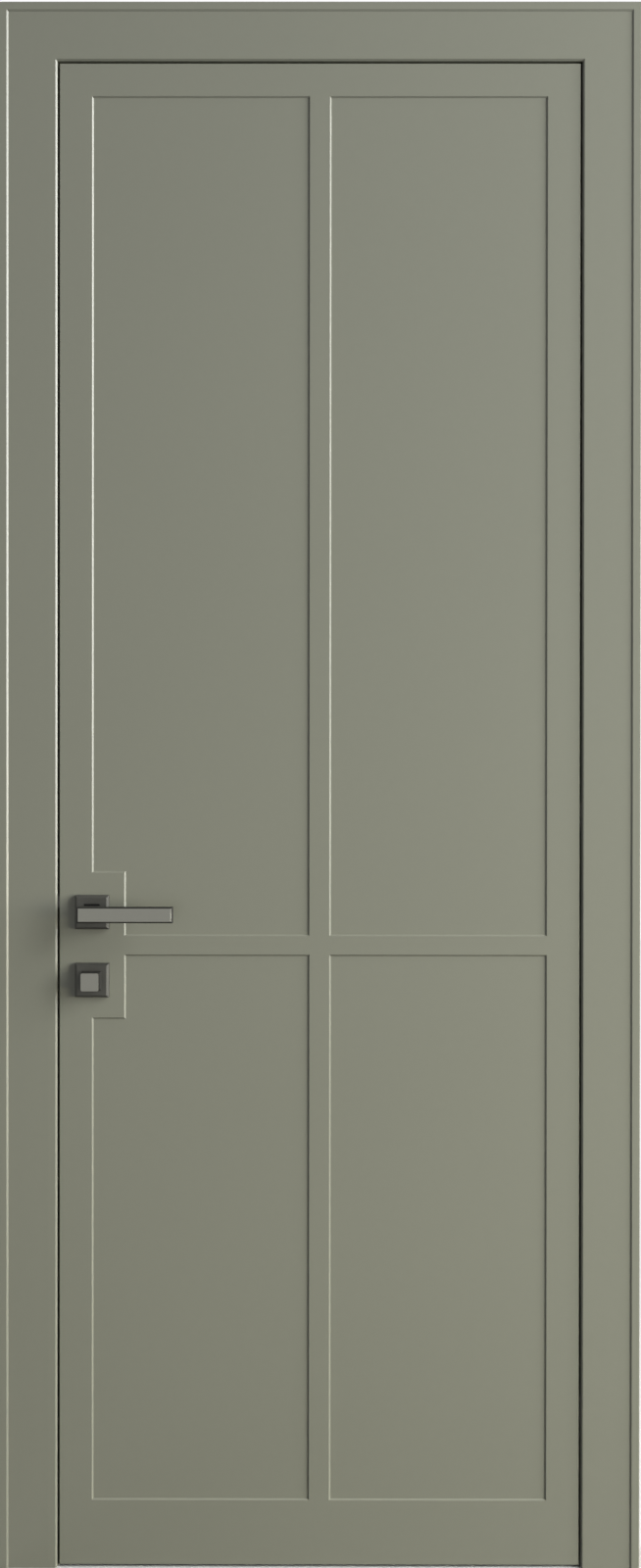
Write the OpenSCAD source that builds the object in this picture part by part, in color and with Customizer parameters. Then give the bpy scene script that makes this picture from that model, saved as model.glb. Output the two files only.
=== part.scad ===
// Interior door set: a flush leaf with four milled panels, its lining, casings, hinges, lock and handles.
// Origin: floor level, middle of the opening, middle of the leaf's thickness. The viewed side faces -Y.

/* [Leaf] */
// Width of the leaf
leaf_w = 797; // [600:1:1000]
// Height of the leaf
leaf_h = 2300; // [1900:10:2500]
// Thickness of the leaf
leaf_t = 44; // [42:1:54]
// Thickness of each milled face board
face_t = 8; // [7:0.5:9]
// Width of the border left proud at the sides and the top
border_w = 50; // [40:1:80]
// Height of the border left proud at the bottom
bottom_h = 99; // [60:1:200]
// Width of the upright bar left proud between the panels
bar_w = 30.5; // [16:0.5:60]
// Height of the cross bar left proud between the upper and the lower panels
cross_h = 28.5; // [16:0.5:60]
// Height of the cross bar's middle above the leaf's lower edge
bar_z = 951; // [850:1:1050]
// Width of the pad that carries the lock and the handles, from the leaf's edge
pad_w = 99.5; // [90:0.5:140]
// Height of that pad
pad_h = 222; // [200:2:320]
// Depth of the panels below the face
panel_depth = 2.2; // [1.5:0.1:5]
// Width of the bevel round each panel
panel_bevel = 2.2; // [1:0.1:6]
// Bevel on the outer edges of the leaf
edge_bevel = 1; // [0.5:0.25:2]
// Width of the stiles inside the leaf
stile_w = 50; // [46:1:80]
// Height of the rails inside the leaf
rail_h = 60; // [40:1:90]
// Width of the block behind the lock
block_w = 60; // [50:1:100]

/* [Lining] */
// Gap between the leaf and the lining at the sides and the top
gap = 3; // [2.5:0.5:4]
// Gap between the leaf and the floor
floor_gap = 4; // [3:1:12]
// Thickness of the jambs and the head
jamb_t = 38; // [37:1:50]
// Thickness of the wall that is lined
wall_t = 75; // [70:5:150]
// How far the stop stands in from the jamb
stop_w = 15; // [13:1:20]
// Space between the back of the leaf and the stop
seal_space = 3.5; // [3:0.5:5]
// Radius of the holes for the wall fixings
fixing_r = 4; // [3:0.5:5]
// Number of wall fixings in each jamb
fixing_count = 4; // [3:1:6]
// Distance of the first and last wall fixing from the ends of the jamb
fixing_inset = 250; // [150:10:400]

/* [Casings] */
// Width of each casing
casing_w = 89; // [70:1:120]
// Thickness of the casing's flat field
casing_t = 11; // [7:0.5:14]
// How far the casing's field stands in front of the leaf's face
casing_lead = 3; // [0:0.5:4]
// Width of the raised outer bead
bead_w = 12; // [6:0.5:20]
// Rise of the bead above the field
bead_rise = 2; // [1:0.25:6]
// Width of the slope between the bead and the field
bead_slope = 2.6; // [1.5:0.1:8]
// Bevel on the casing's inner edge
casing_bevel = 2.5; // [1:0.5:5]
// Depth of the hollow in the back of each casing
relief_depth = 2; // [1:0.5:3]
// Setback of the rear casings from the edge of the lining
rear_setback = 5; // [2:1:10]

/* [Seals] */
// Width of the seal's bulb
seal_w = 8; // [6:0.5:9]
// Thickness of the seal's fin
fin_t = 2.6; // [1.5:0.1:4]
// Depth of the seal's fin
fin_depth = 6; // [4:0.5:8]

/* [Hinges] */
// Distance of the turning axis in front of the leaf
pivot_lead = 2; // [1:0.5:3]
// Width of the hinge bodies
hinge_w = 24; // [24:0.5:26]
// Height of the hinge flanges
hinge_h = 130; // [125:5:180]
// Thickness of the hinge flanges
flange_t = 4; // [3:0.5:6]
// Height of the curved links
link_h = 40; // [30:2:42]
// Thickness of the curved links
link_t = 6; // [5:0.5:6.5]
// Distance of the link's middle behind the leaf's middle plane, where it leaves the hinge bodies
link_back = 7; // [6.5:0.25:7]
// Wall of the hinge bodies beside the links
hinge_wall = 1.4; // [1:0.1:1.6]
// Distance of the outer hinges' middles from the ends of the leaf
hinge_inset = 230; // [150:10:400]
// Length of the screws of the hinges, the strike and the forend
screw_l = 30; // [20:1:32]

/* [Lock] */
// Distance of the lever's axis from the leaf's edge
backset = 51; // [46:1:60]
// Height of the lever's axis above the cross bar's middle
lever_rise = 51; // [46:1:60]
// Depth of the thumb-turn's axis below the cross bar's middle
turn_drop = 53; // [50:1:60]
// Thickness of the lock case
case_t = 14; // [14:0.5:18]
// Depth of the lock case behind the forend
case_d = 80; // [76:1:90]
// How far the lock case runs past the two axes
case_run = 42; // [40:1:60]
// Wall of the lock case
case_wall = 1.5; // [1:0.25:1.75]
// Width of the forend
forend_w = 20; // [18:1:24]
// Thickness of the forend
forend_t = 3; // [2:0.5:4]
// How far the forend runs past the two axes
forend_run = 62; // [56:1:80]
// Angle that the lever turns through
lever_angle = 38; // [20:1:40]
// Length of the latch outside the forend
latch_throw = 11; // [11:0.5:12]
// Height of the latch
latch_h = 18; // [14:1:20]
// Height of the latch's middle above the lever's axis
latch_lift = 14; // [14:0.5:16]
// Throw of the dead bolt
bolt_throw = 14; // [12:0.5:15]
// Height of the dead bolt
bolt_h = 20; // [16:1:22]
// Depth of the dead bolt's middle below the thumb-turn's axis
bolt_drop = 20; // [18:1:22]
// Radius of the followers' hubs
hub_r = 8.5; // [7.5:0.25:8.5]
// Thickness of the strike plate
strike_t = 2; // [1.5:0.25:3]
// Width of the strike plate
strike_w = 24; // [22:1:26]
// Height of the strike plate
strike_h = 210; // [200:5:240]

/* [Handles] */
// Width of the square rosettes
rosette_w = 52; // [46:1:56]
// Height of the rosettes above the leaf
rosette_t = 10; // [8:0.5:12]
// Bevel round the rosettes
rosette_bevel = 3.5; // [1:0.5:4]
// Wall of the rosettes
rosette_wall = 1.5; // [1:0.25:2]
// Thickness of the plates under the rosettes
base_t = 5; // [4:0.5:6]
// Radius of the lever's boss
boss_r = 10; // [8:0.5:11]
// Length of the lever on the grip side of its axis
lever_l = 128; // [90:1:150]
// Length of the lever behind its axis
lever_heel = 15.5; // [12:0.5:20]
// Height of the lever
lever_h = 24; // [16:1:28]
// Thickness of the lever
lever_t = 12; // [8:0.5:14]
// Distance of the lever's front from the leaf
lever_reach = 58; // [50:1:70]
// Bevel round the lever's front
lever_bevel = 2.5; // [1:0.25:4]
// Width of the neck between the rosette and the lever
neck_w = 24; // [16:1:24]
// Height of that neck
neck_h = 20.5; // [14:0.5:24]
// Height of the slot in the lever's rosette above the neck
slot_h = 2.4; // [1:0.2:5]
// Width of the lever's square spindle
spindle_w = 8; // [7:0.5:9]
// Width of the thumb-turn
knob_w = 27; // [20:1:32]
// Height of the thumb-turn above its rosette
knob_reach = 21; // [16:1:34]
// Radius of the thumb-turn's corners
knob_r = 2.3; // [1:0.1:5]
// Width of the square collar at the foot of the thumb-turn
collar_w = 29.5; // [27:0.5:36]
// Thickness of that collar
collar_t = 2; // [1:0.25:4]
// Bevel round the collar
collar_bevel = 1; // [0.5:0.25:1]
// Width of the thumb-turn's square spindle
turn_spindle_w = 6; // [5:0.5:7]
// Radius of the coin release
coin_r = 9; // [8:0.5:12]
// Height of the coin release above its rosette
coin_t = 2.5; // [2:0.25:4]
// Length of its slot
coin_slot_l = 12.6; // [8:0.2:14]
// Width of its slot
coin_slot_w = 2; // [1.5:0.25:3]
// Depth of its slot
coin_slot_d = 1.5; // [1:0.25:1.75]

/* [Clearances] */
// Running clearance between pieces that move on each other
run_clear = 0.3; // [0.2:0.05:0.4]
// Fitting clearance between pieces that are let in or screwed together
fit_clear = 0.2; // [0.1:0.05:0.3]

/* [Hidden] */
$fn = 48;
paint = "#7f8274";
board = "#b79a73";
timber = "#d2b283";
graphite = "#46463f";
satin = "#80807a";
steel = "#a9abab";
rubber = "#23231f";
plastic = "#2e2e2c";
eps = 1;

half_w = leaf_w / 2;
leaf_z0 = floor_gap;
leaf_z1 = floor_gap + leaf_h;
face_y = -leaf_t / 2;
core_y = leaf_t / 2 - face_t;
wall_y0 = face_y - casing_lead + casing_t;
wall_y1 = wall_y0 + wall_t;
stop_y = leaf_t / 2 + seal_space;
stop_a = gap - stop_w;
frame_a = gap + casing_w;
seal_a = stop_a / 2;
bar_mid = leaf_z0 + bar_z;
panel_x0 = -half_w + border_w;
panel_x1 = half_w - border_w;
panel_z0 = leaf_z0 + bottom_h;
panel_z1 = leaf_z1 - border_w;
pad_x = -half_w + pad_w;

fixing_pitch = (leaf_z1 - 2 * fixing_inset) / (fixing_count - 1);
fixing_y = (stop_y + wall_y1) / 2;

pivot_x = half_w + gap / 2;
pivot_y = face_y - pivot_lead;
link_r = link_back - pivot_y;
link_r0 = link_r - link_t / 2;
link_r1 = link_r + link_t / 2;
link_a0 = asin((hinge_wall + run_clear - hinge_w / 2 - pivot_y) / link_r0);
link_gap_a = run_clear / link_r * 180 / PI;
hinge_d = link_r1 * cos(link_a0) - gap / 2 + run_clear + hinge_wall;
hinge_body_h = link_h + 2 * (run_clear + hinge_wall) + hinge_w;
hinge_screw_z = hinge_h / 2 - hinge_w / 2;
hinge_zs = [leaf_z0 + hinge_inset, (leaf_z0 + leaf_z1) / 2, leaf_z1 - hinge_inset];
screw_r = 2;
head_r = 4.2;
head_h = 2.4;
channel_a1 = 100;

axis_x = -half_w + backset;
lever_z = bar_mid + lever_rise;
turn_z = bar_mid - turn_drop;
latch_z = lever_z + latch_lift;
bolt_z = turn_z - bolt_drop;
case_x0 = -half_w + forend_t;
case_x1 = case_x0 + case_d;
case_z0 = turn_z - case_run;
case_z1 = lever_z + case_run;
case_in = case_t / 2 - case_wall;
latch_t = 2 * (case_in - run_clear);
forend_z0 = turn_z - forend_run;
forend_z1 = lever_z + forend_run;
forend_mid = (forend_z0 + forend_z1) / 2;
forend_screw_z = (forend_z1 - forend_z0 - forend_w) / 2;
block_run = 20;
block_z0 = forend_z0 - block_run;
block_z1 = forend_z1 + block_run;
block_x1 = -half_w + stile_w + block_w;
hub_step = 1.5;
hub_lap = 1;
arm_w = 6;
arm_ease = 0.9;
arm_l = latch_throw / sin(lever_angle) - arm_ease;
lug_x = axis_x + arm_w / 2 + run_clear;
lug_lift = 1.2;
lug_z = hub_r + lug_lift;
tail_h = latch_lift + latch_h / 2 - lug_z;
nose_t = 1.5;
layer_t = 2.4;
pin_r = 2.5;
crank_r = bolt_throw;
// The furthest that the crank's pin runs ahead of a bolt that moves in step with the turn
lost = (sqrt(1 - pow(2 / PI, 2)) - acos(2 / PI) / 90) * crank_r;
bolt_rim = 4;
bolt_slot_w = 2 * pin_r + lost + 2 * run_clear;
strike_z = (latch_z + bolt_z) / 2;
strike_screw_z = (strike_h - strike_w) / 2;
mouth_clear = 1;
pocket_spare = 3;
pocket_d = max(bolt_throw, latch_throw) - gap - strike_t + pocket_spare;
box_wall = 1.5;
mouth_w = latch_t + 2 * mouth_clear;
box_w = mouth_w + 2 * box_wall;

rosette_y = face_y - rosette_t;
neck_y = rosette_y - run_clear;
lever_y = face_y - lever_reach;
base_w = rosette_w - 2 * rosette_wall - 2 * fit_clear;
base_screw_inset = 6;
base_screw = base_w / 2 - base_screw_inset;
base_screw_r = 1.5;
base_screw_l = 14;
base_head_r = 3;
base_head_h = 1.8;
boss_clear = 2;
boss_wall = 1.5;
turn_boss_r = turn_spindle_w / 2 * sqrt(2) + boss_wall;
knob_y = rosette_y - knob_reach;
knob_cap = 8;
coin_y = neck_y - coin_t;
coin_cap = 2;
grub_r = 2.5;
grub_inset = 1;
grub_y = (neck_y + lever_y + lever_t) / 2;

// Outline of a block that keeps its full width from y0 to ym and narrows by the bevel from ym to y1
function bevel_outline(w, y0, ym, y1, bevel) = [
    [-w / 2, y0], [w / 2, y0], [w / 2, ym],
    [w / 2 - bevel, y1], [-w / 2 + bevel, y1], [-w / 2, ym]
];

// Block with four bevelled edges round its y1 face, centred on x and z
module bevel_block(w, h, y0, ym, y1, bevel) {
    intersection() {
        linear_extrude(height = h, center = true)
            polygon(bevel_outline(w, y0, ym, y1, bevel));
        rotate([0, -90, 0])
            linear_extrude(height = w, center = true)
                polygon(bevel_outline(h, y0, ym, y1, bevel));
    }
}

// Box between two corners
module span(p, q) {
    translate(p) cube(q - p);
}

module stadium(w, h) {
    square([w, h - w], center = true);
    for (s = [-1, 1]) translate([0, s * (h - w) / 2]) circle(d = w);
}

// Stadium upright in z, d deep along +x
module stadium_x(w, h, d) {
    rotate([90, 0, 90]) linear_extrude(height = d) stadium(w, h);
}

module rounded_square(w, r) {
    square([w, w - 2 * r], center = true);
    square([w - 2 * r, w], center = true);
    for (sx = [-1, 1], sy = [-1, 1])
        translate([sx, sy] * (w / 2 - r)) circle(r = r);
}

// Cylinder along +y from y0 to y1
module rod_y(r, y0, y1) {
    translate([0, y0, 0]) rotate([-90, 0, 0]) cylinder(r = r, h = y1 - y0);
}

// Square bar along +y from y0 to y1
module bar_y(w, y0, y1) {
    span([-w / 2, y0, -w / 2], [w / 2, y1, w / 2]);
}

// Countersunk screw that points along +x from its flush head
module screw_x(r, l, head_r, head_h) {
    rotate([0, 90, 0]) {
        cylinder(r1 = head_r, r2 = r, h = head_h);
        cylinder(r = r, h = l);
    }
}

// Hole that such a screw leaves, open at its head
module screw_hole_x(r, l, head_r, head_h) {
    screw_x(r + fit_clear / 2, l + eps, head_r + fit_clear, head_h + fit_clear);
    rotate([0, -90, 0]) cylinder(r = head_r + fit_clear, h = eps);
}

module back_side() {
    mirror([0, 1, 0]) children();
}

// Upright of a mitred surround on the +x side: a profile of [outward distance from the leaf's edge, y]
module upright(a0, a1) {
    intersection() {
        translate([half_w, 0, 0]) linear_extrude(height = leaf_z1 + a1 + eps) children();
        rotate([90, 0, 0])
            linear_extrude(height = 4 * wall_t, center = true)
                polygon([
                    [half_w + a0 - eps, 0], [half_w + a1 + eps, 0],
                    [half_w + a1 + eps, leaf_z1 + a1 + eps], [half_w + a0 - eps, leaf_z1 + a0 - eps]
                ]);
    }
}

// Head of the same surround
module crosspiece(a0, a1) {
    intersection() {
        translate([0, 0, leaf_z1])
            rotate([0, -90, 0])
                linear_extrude(height = 2 * (half_w + a1 + eps), center = true) children();
        rotate([90, 0, 0])
            linear_extrude(height = 4 * wall_t, center = true)
                polygon([
                    [-half_w - a1 - eps, leaf_z1 + a1 + eps], [half_w + a1 + eps, leaf_z1 + a1 + eps],
                    [half_w + a0 - eps, leaf_z1 + a0 - eps], [-half_w - a0 + eps, leaf_z1 + a0 - eps]
                ]);
    }
}

module jamb_profile() {
    difference() {
        polygon([
            [gap, wall_y0], [gap + jamb_t, wall_y0], [gap + jamb_t, wall_y1],
            [stop_a, wall_y1], [stop_a, stop_y], [gap, stop_y]
        ]);
        translate([seal_a - fin_t / 2 - fit_clear / 2, stop_y - eps])
            square([fin_t + fit_clear, fin_depth + fit_clear + eps]);
    }
}

// Casing with its back on y = 0 and its face towards -y, from its inner edge outwards
module casing_profile() {
    difference() {
        polygon([
            [0, 0], [0, casing_bevel - casing_t], [casing_bevel, -casing_t],
            [casing_w - bead_w - bead_slope, -casing_t],
            [casing_w - bead_w, -casing_t - bead_rise],
            [casing_w - edge_bevel, -casing_t - bead_rise],
            [casing_w, edge_bevel - casing_t - bead_rise], [casing_w, 0]
        ]);
        translate([jamb_t + bead_slope, -relief_depth])
            square([casing_w - jamb_t - 2 * bead_slope - bead_w, relief_depth + eps]);
    }
}

module front_casing_profile() {
    translate([gap, wall_y0]) casing_profile();
}

module back_casing_profile() {
    translate([stop_a + rear_setback, wall_y1]) mirror([0, 1]) casing_profile();
}

module seal_profile() {
    bulb_d = seal_space - run_clear;
    lip_r = bulb_d / 2;
    translate([seal_a - fin_t / 2, stop_y]) square([fin_t, fin_depth]);
    difference() {
        union() {
            translate([seal_a - seal_w / 2, stop_y - bulb_d + lip_r]) square([seal_w, bulb_d - lip_r]);
            translate([seal_a - seal_w / 2 + lip_r, stop_y - bulb_d]) square([seal_w - 2 * lip_r, bulb_d]);
            for (s = [-1, 1])
                translate([seal_a + s * (seal_w / 2 - lip_r), stop_y - bulb_d + lip_r]) circle(r = lip_r);
        }
        translate([seal_a, stop_y - bulb_d / 2]) square([seal_w - 2 * lip_r, bulb_d / 3], center = true);
    }
}

module wall_fixing_holes() {
    for (i = [0 : fixing_count - 1])
        translate([half_w + stop_a - eps, fixing_y, fixing_inset + i * fixing_pitch])
            rotate([0, 90, 0]) cylinder(r = fixing_r, h = stop_w + jamb_t + 2 * eps);
}

module jamb() {
    difference() {
        upright(stop_a, gap + jamb_t) jamb_profile();
        wall_fixing_holes();
    }
}

module latch_jamb() {
    color(board) difference() {
        mirror([1, 0, 0]) jamb();
        strike_place() {
            strike_blank(fit_clear);
            strike_box_blank(fit_clear);
            strike_screw_places() screw_hole_x(screw_r, screw_l, head_r, head_h);
        }
    }
}

module hinge_jamb() {
    color(board) difference() {
        jamb();
        hinge_places() hinge_cut();
    }
}

module head_jamb() {
    color(board) crosspiece(stop_a, gap + jamb_t) jamb_profile();
}

module front_casing_side() {
    color(paint) upright(gap, frame_a) front_casing_profile();
}

module front_casing_left() {
    mirror([1, 0, 0]) front_casing_side();
}

module front_casing_right() {
    front_casing_side();
}

module front_casing_head() {
    color(paint) crosspiece(gap, frame_a) front_casing_profile();
}

module back_casing_side() {
    color(paint) upright(stop_a, frame_a) back_casing_profile();
}

module back_casing_left() {
    mirror([1, 0, 0]) back_casing_side();
}

module back_casing_right() {
    back_casing_side();
}

module back_casing_head() {
    color(paint) crosspiece(stop_a, frame_a) back_casing_profile();
}

module seal_side() {
    color(rubber) upright(stop_a, gap) seal_profile();
}

module seal_left() {
    mirror([1, 0, 0]) seal_side();
}

module seal_right() {
    seal_side();
}

module seal_head() {
    color(rubber) crosspiece(stop_a, gap) seal_profile();
}

// Frame of the strike: x runs into the latch jamb from its face
module strike_place() {
    translate([-half_w - gap, 0, strike_z]) mirror([1, 0, 0]) children();
}

module strike_screw_places() {
    for (s = [-1, 1]) translate([0, 0, s * strike_screw_z]) children();
}

module strike_blank(grow) {
    translate([-grow, 0, 0]) stadium_x(strike_w + 2 * grow, strike_h + 2 * grow, strike_t + grow);
}

// Mouths for the latch and the dead bolt, from x0 to x1
module strike_mouths(x0, x1) {
    for (m = [[latch_z - strike_z, latch_h], [bolt_z - strike_z, bolt_h]])
        span(
            [x0, -mouth_w / 2, m[0] - m[1] / 2 - mouth_clear],
            [x1, mouth_w / 2, m[0] + m[1] / 2 + mouth_clear]
        );
}

module strike_box_blank(grow) {
    z0 = bolt_z - strike_z - bolt_h / 2 - mouth_clear - box_wall;
    z1 = latch_z - strike_z + latch_h / 2 + mouth_clear + box_wall;
    span(
        [strike_t, -box_w / 2 - grow, z0 - grow],
        [strike_t + pocket_d + box_wall + grow, box_w / 2 + grow, z1 + grow]
    );
}

module strike_plate() {
    color(steel) strike_place() difference() {
        strike_blank(0);
        strike_mouths(-eps, strike_t + eps);
        strike_screw_places() screw_hole_x(screw_r, screw_l, head_r, head_h);
    }
}

module strike_box() {
    color(plastic) strike_place() difference() {
        strike_box_blank(0);
        strike_mouths(strike_t - eps, strike_t + pocket_d);
    }
}

module strike_screws() {
    color(steel) strike_place() strike_screw_places() screw_x(screw_r, screw_l, head_r, head_h);
}

// Frame of each hinge: x = 0 in the middle of the gap, x runs into the hinge jamb
module hinge_places() {
    for (z = hinge_zs) hinge_place(z) children();
}

module hinge_place(z) {
    translate([pivot_x, 0, z]) children();
}

module hinge_screw_places() {
    for (s = [-1, 1]) translate([gap / 2, 0, s * hinge_screw_z]) children();
}

module hinge_blank(grow) {
    translate([gap / 2 - grow, 0, 0]) {
        stadium_x(hinge_w + 2 * grow, hinge_h + 2 * grow, flange_t + grow);
        stadium_x(hinge_w + 2 * grow, hinge_body_h + 2 * grow, hinge_d + 2 * grow);
    }
}

module hinge_cut() {
    hinge_blank(fit_clear);
    hinge_screw_places() screw_hole_x(screw_r, screw_l, head_r, head_h);
}

// Curved bar about the turning axis, between two radii and two angles
module arc_bar(r0, r1, h, a0, a1) {
    translate([0, pivot_y, 0])
        rotate([0, 0, a0])
            rotate_extrude(angle = a1 - a0)
                translate([r0, -h / 2]) square([r1 - r0, h]);
}

module hinge_body() {
    color(steel) difference() {
        hinge_blank(0);
        arc_bar(
            link_r0 - run_clear, link_r1 + run_clear, link_h + 2 * run_clear,
            link_a0 - link_gap_a, channel_a1
        );
        hinge_screw_places() screw_hole_x(screw_r, screw_l, head_r, head_h);
    }
}

module hinge_link() {
    color(steel) arc_bar(link_r0, link_r1, link_h, link_a0, 180 - link_a0);
}

module lower_hinge_frame_body() {
    hinge_place(hinge_zs[0]) hinge_body();
}

module middle_hinge_frame_body() {
    hinge_place(hinge_zs[1]) hinge_body();
}

module upper_hinge_frame_body() {
    hinge_place(hinge_zs[2]) hinge_body();
}

module lower_hinge_leaf_body() {
    hinge_place(hinge_zs[0]) mirror([1, 0, 0]) hinge_body();
}

module middle_hinge_leaf_body() {
    hinge_place(hinge_zs[1]) mirror([1, 0, 0]) hinge_body();
}

module upper_hinge_leaf_body() {
    hinge_place(hinge_zs[2]) mirror([1, 0, 0]) hinge_body();
}

module lower_hinge_link() {
    hinge_place(hinge_zs[0]) hinge_link();
}

module middle_hinge_link() {
    hinge_place(hinge_zs[1]) hinge_link();
}

module upper_hinge_link() {
    hinge_place(hinge_zs[2]) hinge_link();
}

module hinge_frame_screws() {
    color(steel) hinge_places() hinge_screw_places() screw_x(screw_r, screw_l, head_r, head_h);
}

module hinge_leaf_screws() {
    color(steel)
        hinge_places() mirror([1, 0, 0])
            hinge_screw_places() screw_x(screw_r, screw_l, head_r, head_h);
}

// Bevelled pocket in the front face between two corners given as [x, z]
module panel(p, q) {
    translate([(p[0] + q[0]) / 2, 0, (p[1] + q[1]) / 2])
        bevel_block(q[0] - p[0], q[1] - p[1], face_y - eps, face_y, face_y + panel_depth, panel_bevel);
}

// Four panels; the two on the latch side step round the lock pad
module panels() {
    panel([bar_w / 2, panel_z0], [panel_x1, bar_mid - cross_h / 2]);
    panel([bar_w / 2, bar_mid + cross_h / 2], [panel_x1, panel_z1]);
    panel([pad_x, panel_z0], [-bar_w / 2, bar_mid - cross_h / 2]);
    panel([panel_x0, panel_z0], [-bar_w / 2, bar_mid - pad_h / 2]);
    panel([pad_x, bar_mid + cross_h / 2], [-bar_w / 2, panel_z1]);
    panel([panel_x0, bar_mid + pad_h / 2], [-bar_w / 2, panel_z1]);
}

module handle_places() {
    for (z = [lever_z, turn_z]) translate([axis_x, 0, z]) children();
}

module base_screw_places() {
    for (sx = [-1, 1], sz = [-1, 1]) translate([sx * base_screw, 0, sz * base_screw]) children();
}

module base_screw_hole() {
    rod_y(base_screw_r + fit_clear / 2, face_y - eps, face_y - base_t / 2 + base_screw_l + fit_clear);
}

// Holes that the handles need through the leaf, front and back alike
module handle_cut() {
    translate([axis_x, 0, lever_z]) rod_y(boss_r + boss_clear, -leaf_t, leaf_t);
    translate([axis_x, 0, turn_z]) rod_y(turn_boss_r + boss_clear, -leaf_t, leaf_t);
    handle_places() base_screw_places() {
        base_screw_hole();
        back_side() base_screw_hole();
    }
}

module face_board() {
    color(paint) difference() {
        translate([0, 0, (leaf_z0 + leaf_z1) / 2])
            bevel_block(leaf_w, leaf_h, -core_y, face_y + edge_bevel, face_y, edge_bevel);
        panels();
        handle_cut();
    }
}

module leaf_front_face() {
    face_board();
}

module leaf_back_face() {
    back_side() face_board();
}

// Mortise for the lock and its forend
module lock_cut() {
    span(
        [-half_w - eps, -case_t / 2 - fit_clear, case_z0 - fit_clear],
        [case_x1 + fit_clear, case_t / 2 + fit_clear, case_z1 + fit_clear]
    );
    translate([-half_w - eps, 0, forend_mid])
        stadium_x(forend_w + 2 * fit_clear, forend_z1 - forend_z0 + 2 * fit_clear, forend_t + eps);
    forend_screw_places() screw_hole_x(screw_r, screw_l, head_r, head_h);
    handle_cut();
}

module leaf_latch_stile() {
    color(timber) difference() {
        span([-half_w, -core_y, leaf_z0], [-half_w + stile_w, core_y, leaf_z1]);
        lock_cut();
    }
}

module leaf_hinge_stile() {
    color(timber) difference() {
        span([half_w - stile_w, -core_y, leaf_z0], [half_w, core_y, leaf_z1]);
        hinge_places() mirror([1, 0, 0]) hinge_cut();
    }
}

module leaf_rail(z0) {
    color(timber) span([-half_w + stile_w, -core_y, z0], [half_w - stile_w, core_y, z0 + rail_h]);
}

module leaf_top_rail() {
    leaf_rail(leaf_z1 - rail_h);
}

module leaf_bottom_rail() {
    leaf_rail(leaf_z0);
}

module leaf_lock_block() {
    color(timber) difference() {
        span([-half_w + stile_w, -core_y, block_z0], [block_x1, core_y, block_z1]);
        lock_cut();
    }
}

module leaf_core() {
    color(board) difference() {
        span([-half_w + stile_w, -core_y, leaf_z0 + rail_h], [half_w - stile_w, core_y, leaf_z1 - rail_h]);
        span([-half_w + stile_w - eps, -core_y - eps, block_z0], [block_x1, core_y + eps, block_z1]);
    }
}

module forend_screw_places() {
    for (s = [-1, 1]) translate([-half_w, 0, forend_mid + s * forend_screw_z]) children();
}

// Holes through the two sides of the lock case for the hubs
module hub_holes() {
    handle_places() rod_y(hub_r - hub_step + run_clear, -case_t, case_t);
}

// Tray of the lock, open towards the cover and the forend
module lock_case() {
    color(steel) difference() {
        span([case_x0, -case_t / 2, case_z0], [case_x1, case_in, case_z1]);
        span(
            [case_x0 - eps, -case_in, case_z0 + case_wall],
            [case_x1 - case_wall, case_t, case_z1 - case_wall]
        );
        hub_holes();
    }
}

module lock_cover() {
    color(steel) difference() {
        span([case_x0, case_in, case_z0], [case_x1, case_t / 2, case_z1]);
        hub_holes();
    }
}

module lock_forend() {
    color(steel) difference() {
        translate([-half_w, 0, forend_mid]) stadium_x(forend_w, forend_z1 - forend_z0, forend_t);
        for (m = [[latch_z, latch_h], [bolt_z, bolt_h]])
            span(
                [-half_w - eps, -latch_t / 2 - run_clear, m[0] - m[1] / 2 - run_clear],
                [case_x0 + eps, latch_t / 2 + run_clear, m[0] + m[1] / 2 + run_clear]
            );
        forend_screw_places() screw_hole_x(screw_r, screw_l, head_r, head_h);
    }
}

module forend_screws() {
    color(steel) forend_screw_places() screw_x(screw_r, screw_l, head_r, head_h);
}

// Hub with a square hole that fills the case and turns in its two sides
module hub(square_w) {
    difference() {
        union() {
            rod_y(hub_r, -latch_t / 2, latch_t / 2);
            rod_y(hub_r - hub_step, -case_t / 2, case_t / 2);
        }
        bar_y(square_w + fit_clear, -case_t, case_t);
    }
}

// Follower of the lever: its arm points up and pushes the latch's lug towards +x
module lever_follower() {
    color(steel) translate([axis_x, 0, lever_z]) {
        hub(spindle_w);
        difference() {
            span([-arm_w / 2, layer_t - latch_t / 2, 0], [arm_w / 2, latch_t / 2, arm_l]);
            rod_y(hub_r - hub_lap, -case_t, case_t);
        }
    }
}

// Latch: a bevelled head, a flat tail beside the follower's arm, and the lug that the arm pushes
module latch_bolt() {
    tip_x = -half_w - latch_throw;
    head_x1 = axis_x - hub_r - arm_w - latch_throw;
    slope_w = (latch_t - nose_t) * sqrt(2);
    z0 = latch_z - latch_h / 2;
    tail_z0 = lever_z + lug_z;
    tail_z1 = tail_z0 + tail_h;
    tail_y = layer_t - run_clear - latch_t / 2;
    color(steel) {
        difference() {
            span([tip_x, -latch_t / 2, z0], [head_x1, latch_t / 2, z0 + latch_h]);
            translate([tip_x, latch_t / 2, latch_z])
                rotate([0, 0, 45])
                    cube([slope_w, slope_w, latch_h + eps], center = true);
        }
        span([head_x1 - eps, -latch_t / 2, tail_z0], [lug_x + arm_w, tail_y, tail_z1]);
        span([lug_x, -latch_t / 2, tail_z0], [lug_x + arm_w, latch_t / 2, tail_z1]);
    }
}

// Follower of the thumb-turn: its crank points down and carries the dead bolt's pin
module turn_follower() {
    arm_y = latch_t / 2 - layer_t;
    color(steel) translate([axis_x, 0, turn_z]) {
        hub(turn_spindle_w);
        difference() {
            span([-pin_r, arm_y, -crank_r], [pin_r, latch_t / 2, 0]);
            rod_y(hub_r - hub_lap, -case_t, case_t);
        }
        translate([0, 0, -crank_r]) {
            rod_y(pin_r, arm_y, latch_t / 2);
            rod_y(pin_r, -latch_t / 2, arm_y + eps / 2);
        }
    }
}

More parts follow.
